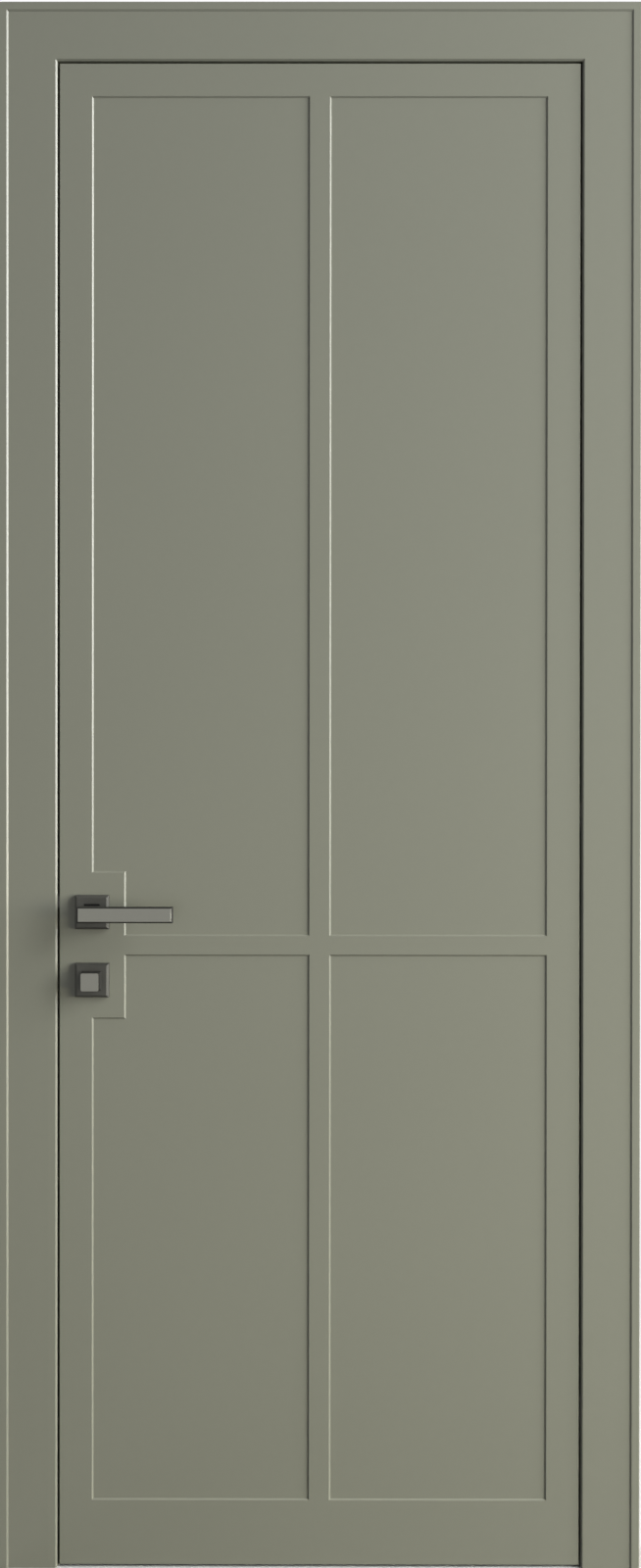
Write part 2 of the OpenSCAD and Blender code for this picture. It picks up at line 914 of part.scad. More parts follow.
// Dead bolt: a head in the forend and a plate with an upright slot for the pin and a long one for the hub
module dead_bolt() {
    head_x1 = axis_x - hub_r - pin_r - lost - bolt_throw;
    plate_y = latch_t / 2 - layer_t - run_clear;
    plate_x1 = axis_x + bolt_throw + hub_r + bolt_rim;
    z0 = bolt_z - bolt_h / 2;
    color(steel) difference() {
        union() {
            span([-half_w, -latch_t / 2, z0], [head_x1, latch_t / 2, z0 + bolt_h]);
            span([head_x1 - eps, -latch_t / 2, z0], [plate_x1, plate_y, turn_z + hub_r + bolt_rim]);
        }
        translate([axis_x, 0, turn_z]) {
            rod_y(hub_r + run_clear, -case_t, case_t);
            span([0, -case_t, -hub_r - run_clear], [bolt_throw, case_t, hub_r + run_clear]);
            translate([bolt_throw, 0, 0]) rod_y(hub_r + run_clear, -case_t, case_t);
            span(
                [pin_r + run_clear - bolt_slot_w, -case_t, -crank_r],
                [pin_r + run_clear, case_t, pin_r + run_clear]
            );
            for (x = [0, -lost]) translate([x, 0, -crank_r]) rod_y(pin_r + run_clear, -case_t, case_t);
            span([-lost, -case_t, -crank_r - pin_r - run_clear], [0, case_t, -crank_r]);
        }
    }
}

// Square cover with bevelled edges, hollow behind, with a hole for the boss
module rosette(hole_r) {
    color(graphite) difference() {
        bevel_block(rosette_w, rosette_w, face_y, rosette_y + rosette_bevel, rosette_y, rosette_bevel);
        bevel_block(
            rosette_w - 2 * rosette_wall, rosette_w - 2 * rosette_wall,
            face_y + eps, rosette_y + rosette_bevel + rosette_wall, rosette_y + rosette_wall, rosette_bevel
        );
        rod_y(hole_r + 2 * run_clear, rosette_y - eps, face_y + eps);
    }
}

// Plate that is screwed to the leaf under a rosette and carries the boss
module rosette_base(bore_r) {
    color(steel) difference() {
        span([-base_w / 2, face_y - base_t, -base_w / 2], [base_w / 2, face_y, base_w / 2]);
        rod_y(bore_r + run_clear, face_y - base_t - eps, face_y + eps);
        base_screw_places() rotate([0, 0, 90])
            translate([face_y - base_t, 0, 0])
                screw_hole_x(base_screw_r, base_screw_l, base_head_r, base_head_h);
    }
}

// The lever's rosette has a slot that the neck covers up to its own upper edge
module front_lever_rosette() {
    translate([axis_x, 0, lever_z]) difference() {
        rosette(boss_r);
        span([-neck_w / 2, rosette_y - eps, 0], [neck_w / 2, face_y + eps, neck_h / 2 + slot_h]);
    }
}

module back_lever_rosette() {
    back_side() front_lever_rosette();
}

module front_turn_rosette() {
    translate([axis_x, 0, turn_z]) rosette(turn_boss_r);
}

module back_turn_rosette() {
    back_side() front_turn_rosette();
}

module front_lever_base() {
    translate([axis_x, 0, lever_z]) rosette_base(boss_r);
}

module back_lever_base() {
    back_side() front_lever_base();
}

module front_turn_base() {
    translate([axis_x, 0, turn_z]) rosette_base(turn_boss_r);
}

module back_turn_base() {
    back_side() front_turn_base();
}

module base_screws() {
    handle_places() base_screw_places()
        rotate([0, 0, 90])
            translate([face_y - base_t, 0, 0]) screw_x(base_screw_r, base_screw_l, base_head_r, base_head_h);
}

module rosette_screws() {
    color(steel) {
        base_screws();
        back_side() base_screws();
    }
}

// Lever on the front: bevelled grip bar, neck, round boss, square socket and set-screw hole
module lever() {
    bar_l = lever_l + lever_heel;
    bar_y1 = lever_y + lever_t;
    color(satin) translate([axis_x, 0, lever_z]) difference() {
        union() {
            translate([(lever_l - lever_heel) / 2, 0, 0])
                bevel_block(bar_l, lever_h, bar_y1, lever_y + lever_bevel, lever_y, lever_bevel);
            span([-neck_w / 2, bar_y1 - eps, -neck_h / 2], [neck_w / 2, neck_y, neck_h / 2]);
            rod_y(boss_r, neck_y - eps, face_y - run_clear);
        }
        bar_y(spindle_w + fit_clear, bar_y1, face_y);
        translate([0, grub_y, -neck_h / 2 - eps]) cylinder(r = grub_r + fit_clear / 2, h = neck_h / 2 + eps);
    }
}

module front_lever() {
    lever();
}

module back_lever() {
    back_side() lever();
}

module lever_spindle() {
    color(steel) translate([axis_x, 0, lever_z])
        bar_y(spindle_w, lever_y + lever_t + run_clear, -lever_y - lever_t - run_clear);
}

module lever_grub_screws() {
    color(steel) for (s = [-1, 1])
        translate([axis_x, s * grub_y, lever_z - neck_h / 2 + grub_inset])
            cylinder(r = grub_r, h = neck_h / 2 - spindle_w / 2 - grub_inset);
}

// Thumb-turn: a block with rounded corners on a bevelled collar, a boss and a square socket
module thumb_turn_knob() {
    color(satin) translate([axis_x, 0, turn_z]) difference() {
        union() {
            translate([0, neck_y, 0]) rotate([90, 0, 0])
                linear_extrude(height = neck_y - knob_y) rounded_square(knob_w, knob_r);
            bevel_block(
                collar_w, collar_w,
                neck_y, neck_y - collar_t + collar_bevel, neck_y - collar_t, collar_bevel
            );
            rod_y(turn_boss_r, neck_y - eps, face_y - run_clear);
        }
        bar_y(turn_spindle_w + fit_clear, knob_y + knob_cap, face_y);
    }
}

module coin_release() {
    color(satin) translate([axis_x, 0, turn_z]) back_side() difference() {
        union() {
            rod_y(coin_r, coin_y, neck_y);
            rod_y(turn_boss_r, neck_y - eps, face_y - run_clear);
        }
        span(
            [-coin_slot_l / 2, coin_y - eps, -coin_slot_w / 2],
            [coin_slot_l / 2, coin_y + coin_slot_d, coin_slot_w / 2]
        );
        bar_y(turn_spindle_w + fit_clear, neck_y + coin_cap, face_y);
    }
}

module turn_spindle() {
    color(steel) translate([axis_x, 0, turn_z])
        bar_y(turn_spindle_w, knob_y + knob_cap + run_clear, -neck_y - coin_cap - run_clear);
}

latch_jamb();
hinge_jamb();
head_jamb();
front_casing_left();
front_casing_right();
front_casing_head();
back_casing_left();
back_casing_right();
back_casing_head();
seal_left();
seal_right();
seal_head();
strike_plate();
strike_box();
strike_screws();
lower_hinge_frame_body();
middle_hinge_frame_body();
upper_hinge_frame_body();
hinge_frame_screws();
lower_hinge_link();
middle_hinge_link();
upper_hinge_link();
leaf_front_face();
leaf_back_face();
leaf_latch_stile();
leaf_hinge_stile();
leaf_top_rail();
leaf_bottom_rail();
leaf_lock_block();
leaf_core();
lower_hinge_leaf_body();
middle_hinge_leaf_body();
upper_hinge_leaf_body();
hinge_leaf_screws();
lock_case();
lock_cover();
lock_forend();
forend_screws();
front_lever_rosette();
back_lever_rosette();
front_turn_rosette();
back_turn_rosette();
front_lever_base();
back_lever_base();
front_turn_base();
back_turn_base();
rosette_screws();
front_lever();
back_lever();
lever_spindle();
lever_grub_screws();
lever_follower();
latch_bolt();
thumb_turn_knob();
coin_release();
turn_spindle();
turn_follower();
dead_bolt();
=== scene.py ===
# Interior door set: finishes, soft edges, driven screws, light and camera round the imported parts
import math

import bpy
import numpy as np
from mathutils import Matrix, Vector


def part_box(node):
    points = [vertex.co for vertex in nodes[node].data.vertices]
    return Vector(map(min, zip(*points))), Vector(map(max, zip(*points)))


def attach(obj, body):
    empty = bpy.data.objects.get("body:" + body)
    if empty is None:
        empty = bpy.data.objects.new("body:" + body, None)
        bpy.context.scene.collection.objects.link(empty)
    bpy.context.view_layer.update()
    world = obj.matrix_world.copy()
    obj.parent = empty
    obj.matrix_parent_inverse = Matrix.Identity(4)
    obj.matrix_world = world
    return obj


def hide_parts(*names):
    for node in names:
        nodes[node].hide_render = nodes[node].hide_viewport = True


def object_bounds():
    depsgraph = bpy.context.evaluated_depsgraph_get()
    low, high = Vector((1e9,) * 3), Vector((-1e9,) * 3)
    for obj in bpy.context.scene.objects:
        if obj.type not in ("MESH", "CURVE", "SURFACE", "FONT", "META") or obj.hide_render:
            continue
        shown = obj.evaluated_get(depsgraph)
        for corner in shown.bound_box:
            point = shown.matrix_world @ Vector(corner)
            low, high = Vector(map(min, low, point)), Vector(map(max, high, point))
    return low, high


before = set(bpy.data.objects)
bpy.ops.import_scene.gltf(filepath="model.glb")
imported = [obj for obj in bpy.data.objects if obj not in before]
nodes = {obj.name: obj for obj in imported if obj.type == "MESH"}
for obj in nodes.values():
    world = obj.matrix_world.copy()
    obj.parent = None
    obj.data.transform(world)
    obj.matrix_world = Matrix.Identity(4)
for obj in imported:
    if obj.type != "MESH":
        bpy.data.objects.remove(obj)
cadLow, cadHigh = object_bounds()

scene = bpy.context.scene
scene.view_settings.view_transform = "Standard"


# One output socket: arithmetic and comparisons on it add Math nodes
class Wire:
    def __init__(self, graph, socket):
        self.graph = graph
        self.socket = socket

    def maths(self, operation, *values):
        return self.graph.node("ShaderNodeMath", {"operation": operation}, dict(enumerate(values)))

    def __add__(self, other):
        return self.maths("ADD", self, other)

    def __sub__(self, other):
        return self.maths("SUBTRACT", self, other)

    def __rsub__(self, other):
        return self.maths("SUBTRACT", other, self)

    def __mul__(self, other):
        return self.maths("MULTIPLY", self, other)

    def __truediv__(self, other):
        return self.maths("DIVIDE", self, other)

    def __rtruediv__(self, other):
        return self.maths("DIVIDE", other, self)

    def __lt__(self, other):
        return self.maths("LESS_THAN", self, other)

    def __gt__(self, other):
        return self.maths("GREATER_THAN", self, other)

    def __or__(self, other):  # the larger of the two
        return self.maths("MAXIMUM", self, other)

    def __and__(self, other):  # the smaller of the two
        return self.maths("MINIMUM", self, other)

    def __abs__(self):
        return self.maths("ABSOLUTE", self)

    __radd__ = __add__
    __rmul__ = __mul__
    __ror__ = __or__
    __rand__ = __and__


# The node tree of one material or of the world
class Graph:
    def __init__(self, tree):
        self.tree = tree

    # settings are set first, then the values or links of the sockets
    def node(self, kind, settings=None, inputs=None, output=0):
        made = self.tree.nodes.new(kind)
        for key, value in (settings or {}).items():
            setattr(made, key, value)
        for key, value in (inputs or {}).items():
            self.plug(made.inputs[key], value)
        return Wire(self, made.outputs[output])

    def plug(self, socket, value):
        if isinstance(value, Wire):
            self.tree.links.new(value.socket, socket)
        else:
            socket.default_value = value

    def place(self):
        return self.node("ShaderNodeTexCoord", output="Object")

    def axes(self):
        place = self.place()
        return [self.node("ShaderNodeSeparateXYZ", None, {0: place}, axis) for axis in "XYZ"]

    # 1 where the ray is of that kind
    def ray(self, kind):
        return self.node("ShaderNodeLightPath", output="Is " + kind + " Ray")

    # 1 where the ray comes straight from the camera, or by way of a mirror or a pane
    def inView(self):
        return self.ray("Camera") | self.ray("Glossy") | self.ray("Transmission")

    # soft noise from 0 to 1 with features about size metres long on each axis
    def mottle(self, size, detail=2.0):
        perMetre = tuple(float(1 / length) for length in np.broadcast_to(size, 3))
        scaled = self.node("ShaderNodeMapping", None, {"Vector": self.place(), "Scale": perMetre})
        inputs = {"Vector": scaled, "Scale": 1.0, "Detail": detail}
        return self.node("ShaderNodeTexNoise", None, inputs)

    # the first colour where the factor is 0, the second where it is 1
    def blend(self, factor, first, second):
        sockets = {0: factor, 6: first, 7: second}  # 6, 7 and output 2 are the colour ones
        return self.node("ShaderNodeMix", {"data_type": "RGBA"}, sockets, 2)

    def bump(self, height, distance):
        return self.node("ShaderNodeBump", None, {"Height": height, "Distance": distance})


def newFinish(name):
    material = bpy.data.materials.new(name)
    material.use_nodes = True
    graph = Graph(material.node_tree)
    return material, graph, material.node_tree.nodes["Principled BSDF"]


def setSockets(graph, shader, values):
    for key, value in values.items():
        graph.plug(shader.inputs[key], value)


# the colour with each channel times the share, and full alpha
def shaded(colour, share=1.0):
    return tuple(channel * share for channel in colour) + (1.0,)


# the colour, darker by the contrast where the tone is 0 and lighter by it where the tone is 1
def toned(graph, tone, colour, contrast):
    return graph.blend(tone, shaded(colour, 1 - contrast), shaded(colour, 1 + contrast))


# the middle value, moved by up to half the width to either side by a noise from 0 to 1
def swung(middle, noise, width):
    return middle + (noise - 0.5) * width


# so much of the first noise, and the rest of the second
def mixed(first, second, share):
    return first * share + second * (1 - share)


def wear(names, material):
    for name in names:
        slots = nodes[name].data.materials
        slots.clear()
        slots.append(material)


# Raw fibreboard: fine fibres over slow clouds of tone
boardLook = {
    "colour": (0.36, 0.25, 0.15), "contrast": 0.3, "fibreShare": 0.6,
    "fibre": {"size": (0.0006, 0.0006, 0.0018), "detail": 3.0}, "cloud": {"size": 0.06},
}


def boardColour(graph):
    fibre = graph.mottle(**boardLook["fibre"])
    cloud = graph.mottle(**boardLook["cloud"])
    tone = mixed(fibre, cloud, boardLook["fibreShare"])
    return toned(graph, tone, boardLook["colour"], boardLook["contrast"])


# Softwood: long grain along z, stretched noise for the rings and the pores
woodLook = {
    "early": (0.62, 0.45, 0.26), "late": (0.42, 0.25, 0.11),
    "rings": {"size": (0.006, 0.02, 0.5), "detail": 4.0},
}


def woodColour(graph):
    rings = graph.mottle(**woodLook["rings"])
    return graph.blend(rings, shaded(woodLook["early"]), shaded(woodLook["late"]))


# Sprayed satin paint: slow drift of tone, fine mottling, and the dimples of the film
paintLook = {
    "colour": (0.200, 0.206, 0.163), "contrast": 0.035, "driftShare": 0.5,
    "drift": {"size": 0.5, "detail": 1.0}, "speck": {"size": 0.011, "detail": 3.0},
    "roughness": 0.31, "roughSwing": 0.08, "rawRoughness": 0.5,  # the last is added where it is raw
    "dimple": {"size": 0.0024, "detail": 1.0}, "dimpleHeight": 0.000012,
}


# bare(x, y, z) gives 1 where the piece stays unpainted, in the colour that underColour makes
def paintFinish(name, bare, underColour):
    look = paintLook
    material, graph, shader = newFinish(name)
    drift = graph.mottle(**look["drift"])
    speck = graph.mottle(**look["speck"])
    tone = mixed(drift, speck, look["driftShare"])
    paint = toned(graph, tone, look["colour"], look["contrast"])
    raw = bare(*graph.axes())
    roughness = swung(look["roughness"], speck, look["roughSwing"])
    setSockets(graph, shader, {
        "Base Color": graph.blend(raw, paint, underColour(graph)),
        "Roughness": roughness + raw * look["rawRoughness"],
        "Normal": graph.bump(graph.mottle(**look["dimple"]), look["dimpleHeight"]),
    })
    return material


# Metals: drawn steel has its lines stretched along z, cast zinc and graphite an even grain
metalLook = {"lineShare": 0.6, "roughSwing": 0.1}
steelLook = {
    "colour": (0.56, 0.56, 0.55), "contrast": 0.12, "metallic": 1.0, "roughness": 0.30,
    "lines": {"size": (0.0005, 0.0005, 0.03)}, "lineHeight": 0.000004, "cloud": {"size": 0.02},
}
castLook = {
    "colour": (0.40, 0.40, 0.39), "contrast": 0.10, "metallic": 1.0, "roughness": 0.42,
    "lines": {"size": 0.0009}, "lineHeight": 0.00001, "cloud": {"size": 0.012},
}
graphiteLook = {
    "colour": (0.068, 0.068, 0.060), "contrast": 0.10, "metallic": 0.68, "roughness": 0.60,
    "lines": {"size": 0.0006}, "lineHeight": 0.000006, "cloud": {"size": 0.010},
}


def metalFinish(name, look):
    material, graph, shader = newFinish(name)
    lines = graph.mottle(**look["lines"])
    cloud = graph.mottle(**look["cloud"])
    tone = mixed(lines, cloud, metalLook["lineShare"])
    setSockets(graph, shader, {
        "Base Color": toned(graph, tone, look["colour"], look["contrast"]),
        "Metallic": look["metallic"],
        "Roughness": swung(look["roughness"], tone, metalLook["roughSwing"]),
        "Normal": graph.bump(lines, look["lineHeight"]),
    })
    return material


# Two-tone levers, thumb-turn and coin release: a paler satin front face on a dull dark body
satinLook = {
    "face": (0.216, 0.216, 0.189), "faceContrast": 0.05, "faceMetal": 0.95, "lip": 0.0004,
    "side": (0.020, 0.020, 0.017), "sideContrast": 0.1, "sideMetal": 0.0, "sideRoughness": 0.20,
    "roughness": 0.38, "roughSwing": 0.06, "gloss": 0.2,  # sideRoughness is added on the sides
    "lines": {"size": (0.02, 0.0004, 0.0004)}, "lineHeight": 0.000003, "cloud": {"size": 0.010},
}


# the pale face is where a point lies further from the leaf's middle than the front less a lip
def satinFinish(name, front):
    look = satinLook
    material, graph, shader = newFinish(name)
    away = abs(graph.axes()[1])
    face = away > front - look["lip"]
    lines = graph.mottle(**look["lines"])
    cloud = graph.mottle(**look["cloud"])
    pale = toned(graph, lines, look["face"], look["faceContrast"])
    dark = toned(graph, cloud, look["side"], look["sideContrast"])
    roughness = swung(look["roughness"], lines, look["roughSwing"])
    setSockets(graph, shader, {
        "Base Color": graph.blend(face, dark, pale),
        "Metallic": look["sideMetal"] + face * (look["faceMetal"] - look["sideMetal"]),
        "Roughness": roughness + (1 - face) * look["sideRoughness"],
        "Specular IOR Level": look["gloss"],
        "Normal": graph.bump(lines, look["lineHeight"]),
    })
    return material


# Soft black rubber, moulded black plastic and black plates: dull speckle over a near-black colour;
# the base plates' near-black is painted shade, which darkens the slot above the lever's neck where
# they show through
dullLook = {"contrast": 0.25, "roughSwing": 0.12, "detail": 3.0}
rubberLook = {
    "colour": (0.017, 0.017, 0.014), "roughness": 0.7, "grain": 0.0006, "height": 0.00002,
}
plasticLook = {
    "colour": (0.026, 0.026, 0.025), "roughness": 0.45, "grain": 0.0009, "height": 0.00001,
}
# base plates behind the rosettes: near-black as painted shade for the slot above the lever's neck
slotShadePlateLook = {
    "colour": (0.012, 0.012, 0.011), "roughness": 0.6, "grain": 0.0007, "height": 0.00001,
}


def dullFinish(name, look):
    material, graph, shader = newFinish(name)
    speck = graph.mottle(look["grain"], dullLook["detail"])
    setSockets(graph, shader, {
        "Base Color": toned(graph, speck, look["colour"], dullLook["contrast"]),
        "Roughness": swung(look["roughness"], speck, dullLook["roughSwing"]),
        "Normal": graph.bump(speck, look["height"]),
    })
    return material


# Chipboard core: flat flakes, pale in the middle and deeper brown at the rim
flakeLook = {
    "pale": (0.55, 0.40, 0.24), "deep": (0.33, 0.20, 0.10), "flake": 0.006,
    "roughness": 0.8, "rimRoughness": 0.1, "height": 0.0003,  # the rims' roughness is added
}


def flakeFinish(name):
    look = flakeLook
    material, graph, shader = newFinish(name)
    inputs = {"Vector": graph.place(), "Scale": 1 / look["flake"]}
    flakes = graph.node("ShaderNodeTexVoronoi", None, inputs, "Distance")
    setSockets(graph, shader, {
        "Base Color": graph.blend(flakes, shaded(look["pale"]), shaded(look["deep"])),
        "Roughness": look["roughness"] + flakes * look["rimRoughness"],
        "Normal": graph.bump(flakes, look["height"]),
    })
    return material


# Where each painted piece stays bare, from the faces of its own box
skin = 0.00002
leafLow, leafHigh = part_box("leaf_hinge_stile")
leafEdge = leafHigh.x - skin
leafTop = leafHigh.z - skin
leafFoot = leafLow.z + skin
boardInside = leafHigh.y + skin
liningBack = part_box("hinge_jamb")[1].x - skin
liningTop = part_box("head_jamb")[1].z - skin
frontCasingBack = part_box("front_casing_left")[1].y - skin
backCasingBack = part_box("back_casing_left")[0].y + skin


def bareInLeaf(x, y, z):
    return 1 - ((abs(x) > leafEdge) | (z > leafTop) | (z < leafFoot))


def bareInWall(x, y, z):
    return (abs(x) > liningBack) | (z > liningTop)


facePaint = paintFinish("facePaint", lambda x, y, z: abs(y) < boardInside, boardColour)
edgePaint = paintFinish("edgePaint", bareInLeaf, woodColour)
liningPaint = paintFinish("liningPaint", bareInWall, boardColour)
frontCasingPaint = paintFinish("frontCasingPaint", lambda x, y, z: y > frontCasingBack, boardColour)
backCasingPaint = paintFinish("backCasingPaint", lambda x, y, z: y < backCasingBack, boardColour)
brushedSteel = metalFinish("brushedSteel", steelLook)
castZinc = metalFinish("castZinc", castLook)
graphite = metalFinish("graphite", graphiteLook)
leverSatin = satinFinish("leverSatin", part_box("back_lever")[1].y)
knobSatin = satinFinish("knobSatin", -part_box("thumb_turn_knob")[0].y)
coinSatin = satinFinish("coinSatin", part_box("coin_release")[1].y)
sealRubber = dullFinish("sealRubber", rubberLook)
boxPlastic = dullFinish("boxPlastic", plasticLook)
baseBlackSlotShade = dullFinish("baseBlackSlotShade", slotShadePlateLook)
chipboard = flakeFinish("chipboard")

sides = ("left", "right", "head")
hinges = ("lower", "middle", "upper")
hingeFrames = [hinge + "_hinge_frame_body" for hinge in hinges]
hingeLeaves = [hinge + "_hinge_leaf_body" for hinge in hinges]
hingeLinks = [hinge + "_hinge_link" for hinge in hinges]
fittings = [face + "_" + use for face in ("front", "back") for use in ("lever", "turn")]
rosettes = [fitting + "_rosette" for fitting in fittings]

wear(["leaf_front_face", "leaf_back_face"], facePaint)
wear(["leaf_latch_stile", "leaf_hinge_stile", "leaf_lock_block"], edgePaint)
wear(["leaf_top_rail", "leaf_bottom_rail"], edgePaint)
wear(["latch_jamb", "hinge_jamb", "head_jamb"], liningPaint)
wear(["front_casing_" + side for side in sides], frontCasingPaint)
wear(["back_casing_" + side for side in sides], backCasingPaint)
wear(["seal_" + side for side in sides], sealRubber)
wear(hingeFrames + hingeLeaves + hingeLinks + ["latch_bolt", "dead_bolt"], castZinc)
wear(["strike_plate", "lock_forend", "lock_case", "lock_cover"], brushedSteel)
wear(["lever_spindle", "turn_spindle", "lever_follower", "turn_follower"], brushedSteel)
wear(["strike_screws", "forend_screws", "hinge_frame_screws", "hinge_leaf_screws"], brushedSteel)
wear(["rosette_screws", "lever_grub_screws"], brushedSteel)
# base plates near-black: painted shade, seen through the slot above the lever's neck
wear([fitting + "_base" for fitting in fittings], baseBlackSlotShade)
wear(rosettes, graphite)
wear(["front_lever", "back_lever"], leverSatin)
wear(["thumb_turn_knob"], knobSatin)
wear(["coin_release"], coinSatin)
wear(["strike_box"], boxPlastic)
wear(["leaf_core"], chipboard)
print("finishes given to", sum(len(part.data.materials) > 0 for part in nodes.values()), "parts")


# Soft edges: the loose triangles are welded, then every edge sharper than the limit is rounded
edgeLook = {"width": 0.0003, "segments": 2, "limit": 25, "weld": 1e-6, "faceWeight": 100}


def softEdges(names):
    for name in names:
        weld = nodes[name].modifiers.new("weldCorners", "WELD")
        weld.merge_threshold = edgeLook["weld"]
        bevel = nodes[name].modifiers.new("softEdges", "BEVEL")
        bevel.width = edgeLook["width"]
        bevel.segments = edgeLook["segments"]
        bevel.limit_method = "ANGLE"
        bevel.angle_limit = math.radians(edgeLook["limit"])
        level = nodes[name].modifiers.new("levelNormals", "WEIGHTED_NORMAL")  # keeps faces flat
        level.weight = edgeLook["faceWeight"]


softParts = ["front_lever", "back_lever", "thumb_turn_knob"] + rosettes
softEdges(softParts)
print("edges softened on", len(softParts), "parts")


# Driven screws: rings round an axis, radius and depth worked out for a whole grid at once
screwLook = {
    "headRadius": 0.0042, "headDepth": 0.0024, "shankRadius": 0.002, "tip": 0.004,
    "threadPitch": 0.0018, "threadDepth": 0.0005,
    "crossArm": 0.00055, "crossReach": 0.0026, "crossDepth": 0.0014, "crossSoft": 0.00025,
    "around": 40, "headRings": 14, "coneRings": 4, "threadRings": 96, "tipRings": 6,
}
fullTurn = 2 * math.pi


# depth of the cross recess: full where a point is nearer to either arm's middle than half the arm,
# and inside the reach, easing to nothing over the soft width
def crossRecess(radius, angle):
    look = screwLook
    across = np.minimum(abs(radius * np.cos(angle)), abs(radius * np.sin(angle)))
    inArm = np.clip((look["crossArm"] - across) / look["crossSoft"] + 0.5, 0, 1)
    inReach = np.clip((look["crossReach"] - radius) / look["crossSoft"] + 0.5, 0, 1)
    return look["crossDepth"] * inArm * inReach


# surface in (ring, angle): the head's disc with its recess, the cone under it, the shank whose
# radius rises and falls with depth / pitch less the share of a turn, and the tip that closes it
def screwSurface(length):
    look = screwLook
    headRadius, headDepth, shankRadius = look["headRadius"], look["headDepth"], look["shankRadius"]
    tipStart = length - look["tip"]
    angle = np.arange(look["around"]) * fullTurn / look["around"]
    headR = np.linspace(0, headRadius, look["headRings"] + 1)[1:]
    coneS = np.linspace(0, headDepth, look["coneRings"] + 1)[1:]
    coneR = headRadius + (shankRadius - headRadius) * coneS / headDepth
    shankS = np.linspace(headDepth, tipStart, look["threadRings"] + 1)[1:]
    shankR = np.full(len(shankS), shankRadius)
    tipS = np.linspace(tipStart, length, look["tipRings"] + 1)[1:-1]
    tipR = shankRadius * (length - tipS) / look["tip"]
    rings = np.concatenate([headR, coneR, shankR, tipR])
    depths = np.concatenate([np.zeros(len(headR)), coneS, shankS, tipS])
    radius = np.repeat(rings[:, None], len(angle), 1)
    depth = np.repeat(depths[:, None], len(angle), 1)
    turn = np.repeat(angle[None, :], len(rings), 0)
    wave = abs(((depth / look["threadPitch"] - turn / fullTurn) % 1) * 2 - 1)
    threaded = (depth > headDepth) & (depth < tipStart)
    radius = radius - np.where(threaded, look["threadDepth"] * wave, 0)
    onHead = np.arange(len(rings))[:, None] < len(headR)
    depth = depth + np.where(onHead, crossRecess(radius, turn), 0)
    return radius, depth, turn


# quads between the rings of a screw, with a fan of triangles at the head's middle and at the tip
def ringFaces(ringCount, around):
    ring = np.arange(ringCount - 1)[:, None] * around + 1
    here = np.arange(around)[None, :]
    after = (here + 1) % around
    corners = [ring + here, ring + after, ring + around + after, ring + around + here]
    quads = np.stack(corners, -1).reshape(-1, 4)
    first = np.stack([np.zeros(around, int), 1 + after[0], 1 + here[0]], -1)
    lastRing = (ringCount - 1) * around + 1
    point = np.full(around, lastRing + around)
    tip = np.stack([point, lastRing + here[0], lastRing + after[0]], -1)
    return quads, np.concatenate([first, tip])


# one mesh of several screws: heads holds the middle of each head, inward is 1 or -1 along x
def screwPiece(name, heads, inward, node, body):
    low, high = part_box(node)
    length = high.x - low.x
    radius, depth, turn = screwSurface(length)
    rings, around = radius.shape
    wall = np.stack([depth * inward, radius * np.cos(turn), radius * np.sin(turn) * inward], -1)
    start = np.array([[screwLook["crossDepth"] * inward, 0, 0]])
    end = np.array([[length * inward, 0, 0]])
    shape = np.concatenate([start, wall.reshape(-1, 3), end])
    quads, fans = ringFaces(rings, around)
    offsets = np.arange(len(heads)) * len(shape)
    points = (heads[:, None, :] + shape[None]).reshape(-1, 3)
    faces = (quads[None] + offsets[:, None, None]).reshape(-1, 4).tolist()
    faces += (fans[None] + offsets[:, None, None]).reshape(-1, 3).tolist()
    mesh = bpy.data.meshes.new(name)
    mesh.from_pydata(points.tolist(), [], faces)
    mesh.polygons.foreach_set("use_smooth", np.ones(len(faces), bool))
    mesh.materials.append(brushedSteel)
    piece = bpy.data.objects.new(name, mesh)
    scene.collection.objects.link(piece)
    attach(piece, body)
    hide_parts(node)


# middles of the heads: half the plate's height less half its width, above and below its middle
def headPlaces(plates, faceX):
    boxes = np.array([[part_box(plate)[0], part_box(plate)[1]] for plate in plates])
    middles = boxes.mean(1)
    sizes = boxes[:, 1] - boxes[:, 0]
    reach = (sizes[:, 2] - sizes[:, 1]) / 2
    heights = np.stack([middles[:, 2] - reach, middles[:, 2] + reach], 1).ravel()
    return np.stack([np.full_like(heights, faceX), np.zeros_like(heights), heights], 1)


# name, plates that the screws hold, node that they stand for, body that they ride on, and 1 or -1
# for the way that they point along x
screwRows = [
    ("hingeFrameScrewsDriven", hingeFrames, "hinge_frame_screws", "frame", 1),
    ("hingeLeafScrewsDriven", hingeLeaves, "hinge_leaf_screws", "leaf", -1),
    ("strikeScrewsDriven", ["strike_plate"], "strike_screws", "frame", -1),
    ("forendScrewsDriven", ["lock_forend"], "forend_screws", "leaf", 1),
]
for pieceName, plates, node, body, inward in screwRows:
    low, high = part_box(node)
    faceX = low.x if inward > 0 else high.x
    screwPiece(pieceName, headPlaces(plates, faceX), inward, node, body)
print("driven screws made:", len(screwRows), "pieces")


# Floor under the door: pale, and seen nearly white from some way off, so that the shadow by the
# door stays
floorLook = {
    "half": 9.0, "drop": 0.0002, "seen": (0.62, 0.62, 0.61), "bounced": (0.06, 0.06, 0.058),
    "grain": {"size": 0.02}, "roughness": 0.882, "roughSwing": 0.036,
    "glow": (0.97, 0.97, 0.965), "glowShare": 0.9, "glowStart": 0.7, "glowEase": 2.0,
}


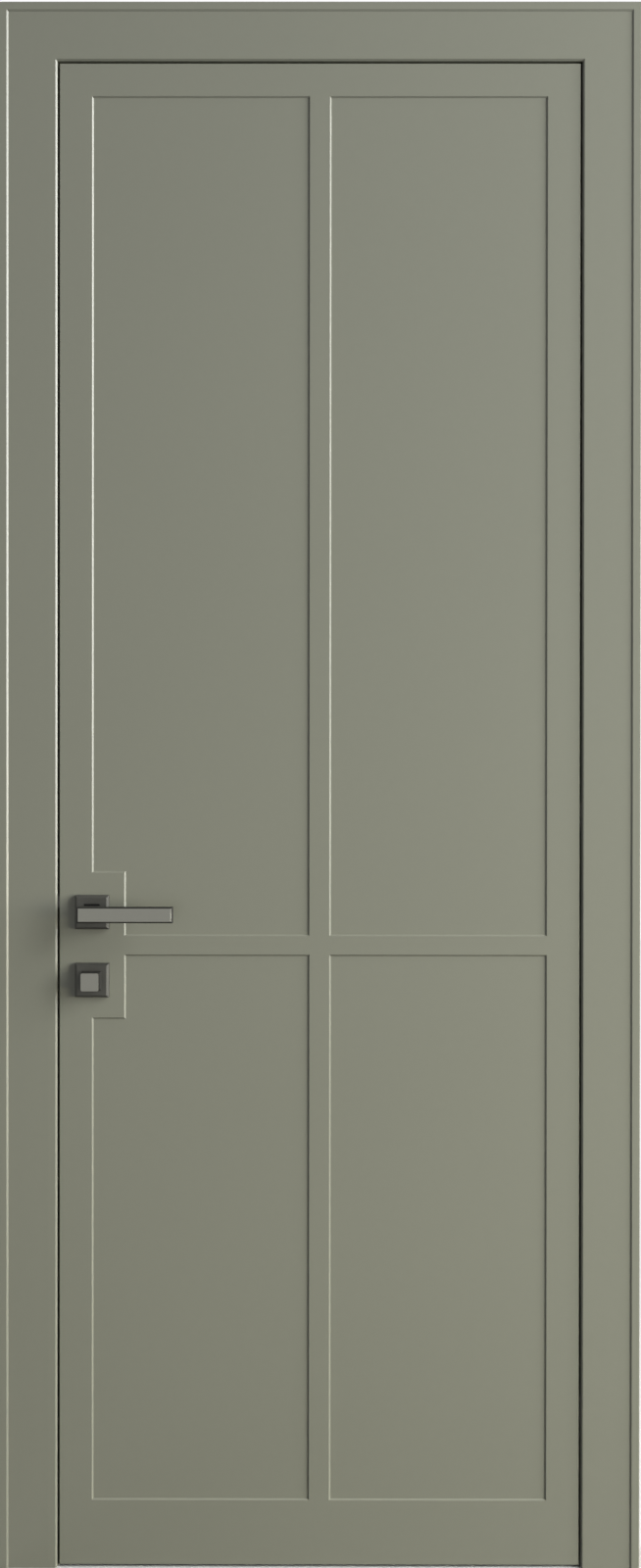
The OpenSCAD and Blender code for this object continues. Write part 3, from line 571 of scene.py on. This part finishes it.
def makeFloor():
    look = floorLook
    half = look["half"]
    corners = np.array([[-half, -half, 0], [half, -half, 0], [half, half, 0], [-half, half, 0]])
    corners[:, 2] = cadLow.z - look["drop"]
    mesh = bpy.data.meshes.new("floor")
    mesh.from_pydata(corners.tolist(), [], [[0, 1, 2, 3]])
    floor = bpy.data.objects.new("floor", mesh)
    scene.collection.objects.link(floor)
    material, graph, shader = newFinish("paleFloor")
    inView = graph.inView()
    setSockets(graph, shader, {
        "Base Color": graph.blend(inView, shaded(look["bounced"]), shaded(look["seen"])),
        "Roughness": swung(look["roughness"], graph.mottle(**look["grain"]), look["roughSwing"]),
    })
    lit = Wire(graph, shader.outputs["BSDF"])
    glow = graph.node("ShaderNodeEmission", None, {"Color": shaded(look["glow"])})
    reach = graph.node("ShaderNodeVectorMath", {"operation": "LENGTH"}, {0: graph.place()}, "Value")
    away = (reach - look["glowStart"]) / look["glowEase"]
    share = ((away | 0) & 1) * look["glowShare"]
    both = graph.node("ShaderNodeMixShader", None, {0: inView * share, 1: lit, 2: glow})
    graph.plug(material.node_tree.nodes["Material Output"].inputs["Surface"], both)
    mesh.materials.append(material)


makeFloor()

# World: white to the camera and in reflections, a plain soft grey as light
worldLook = {"white": 1.0, "light": 0.17}


def makeWorld():
    world = bpy.data.worlds.new("studio")
    world.use_nodes = True
    scene.world = world
    graph = Graph(world.node_tree)
    white = shaded((1.0, 1.0, 1.0))
    soft, seen = (
        graph.node("ShaderNodeBackground", None, {"Color": white, "Strength": worldLook[key]})
        for key in ("light", "white")
    )
    both = graph.node("ShaderNodeMixShader", None, {0: graph.inView(), 1: soft, 2: seen})
    graph.plug(world.node_tree.nodes["World Output"].inputs["Surface"], both)


makeWorld()

# Lamps far to the right: a broad window-like panel high up, a narrow one nearer to the wall plane
# and a low, warm one for the foot of the door; one more behind, for the other side
lampLooks = {
    "windowLamp": {
        "at": (4.2, -2.3, 3.05), "aim": (0.0, 0.0, 1.4), "size": (2.0, 4.2),
        "power": 374, "spread": 180, "colour": (1.0, 1.0, 1.0),
    },
    "sideLamp": {
        "at": (4.6, -0.85, 2.6), "aim": (0.0, 0.0, 1.4), "size": (0.7, 4.1),
        "power": 177, "spread": 180, "colour": (1.0, 1.0, 1.0),
    },
    "lowLamp": {
        "at": (4.6, -3.2, 0.6), "aim": (0.0, 0.0, 0.2), "size": (2.4, 1.0),
        "power": 12, "spread": 48, "colour": (1.0, 0.93, 0.74),
    },
    "rearLamp": {
        "at": (-3.2, 4.6, 2.0), "aim": (0.0, 0.0, 1.2), "size": (2.6, 2.6),
        "power": 105, "spread": 90, "colour": (1.0, 1.0, 1.0),
    },
}


def makeLamp(name, look):
    lamp = bpy.data.lights.new(name, "AREA")
    lamp.shape = "RECTANGLE"
    lamp.size, lamp.size_y = look["size"]
    lamp.energy = look["power"]
    lamp.color = look["colour"]
    lamp.spread = math.radians(look["spread"])
    holder = bpy.data.objects.new(name, lamp)
    at = Vector(look["at"])
    holder.location = at
    holder.rotation_euler = (Vector(look["aim"]) - at).to_track_quat("-Z", "Y").to_euler()
    scene.collection.objects.link(holder)


for name, look in lampLooks.items():
    makeLamp(name, look)
print("floor, world and", len(lampLooks), "lamps placed")

# Camera: level with the middle of the door, a hair to the right and turned back
cameraLook = {
    "at": (0.0059, -2.322, 1.2114), "lens": 34.479, "sensor": 36.0,
    "turn": 0.1083, "dip": 0.2275, "roll": 0.0490,
}


def makeCamera():
    look = cameraLook
    data = bpy.data.cameras.new("photoCamera")
    data.lens = look["lens"]
    data.sensor_width = look["sensor"]
    camera = bpy.data.objects.new("photoCamera", data)
    turn = Matrix.Rotation(math.radians(look["turn"]), 4, "Z")
    tilt = Matrix.Rotation(math.radians(90 - look["dip"]), 4, "X")
    roll = Matrix.Rotation(math.radians(look["roll"]), 4, "Z")
    camera.matrix_world = Matrix.Translation(look["at"]) @ turn @ tilt @ roll
    scene.collection.objects.link(camera)
    scene.camera = camera


makeCamera()
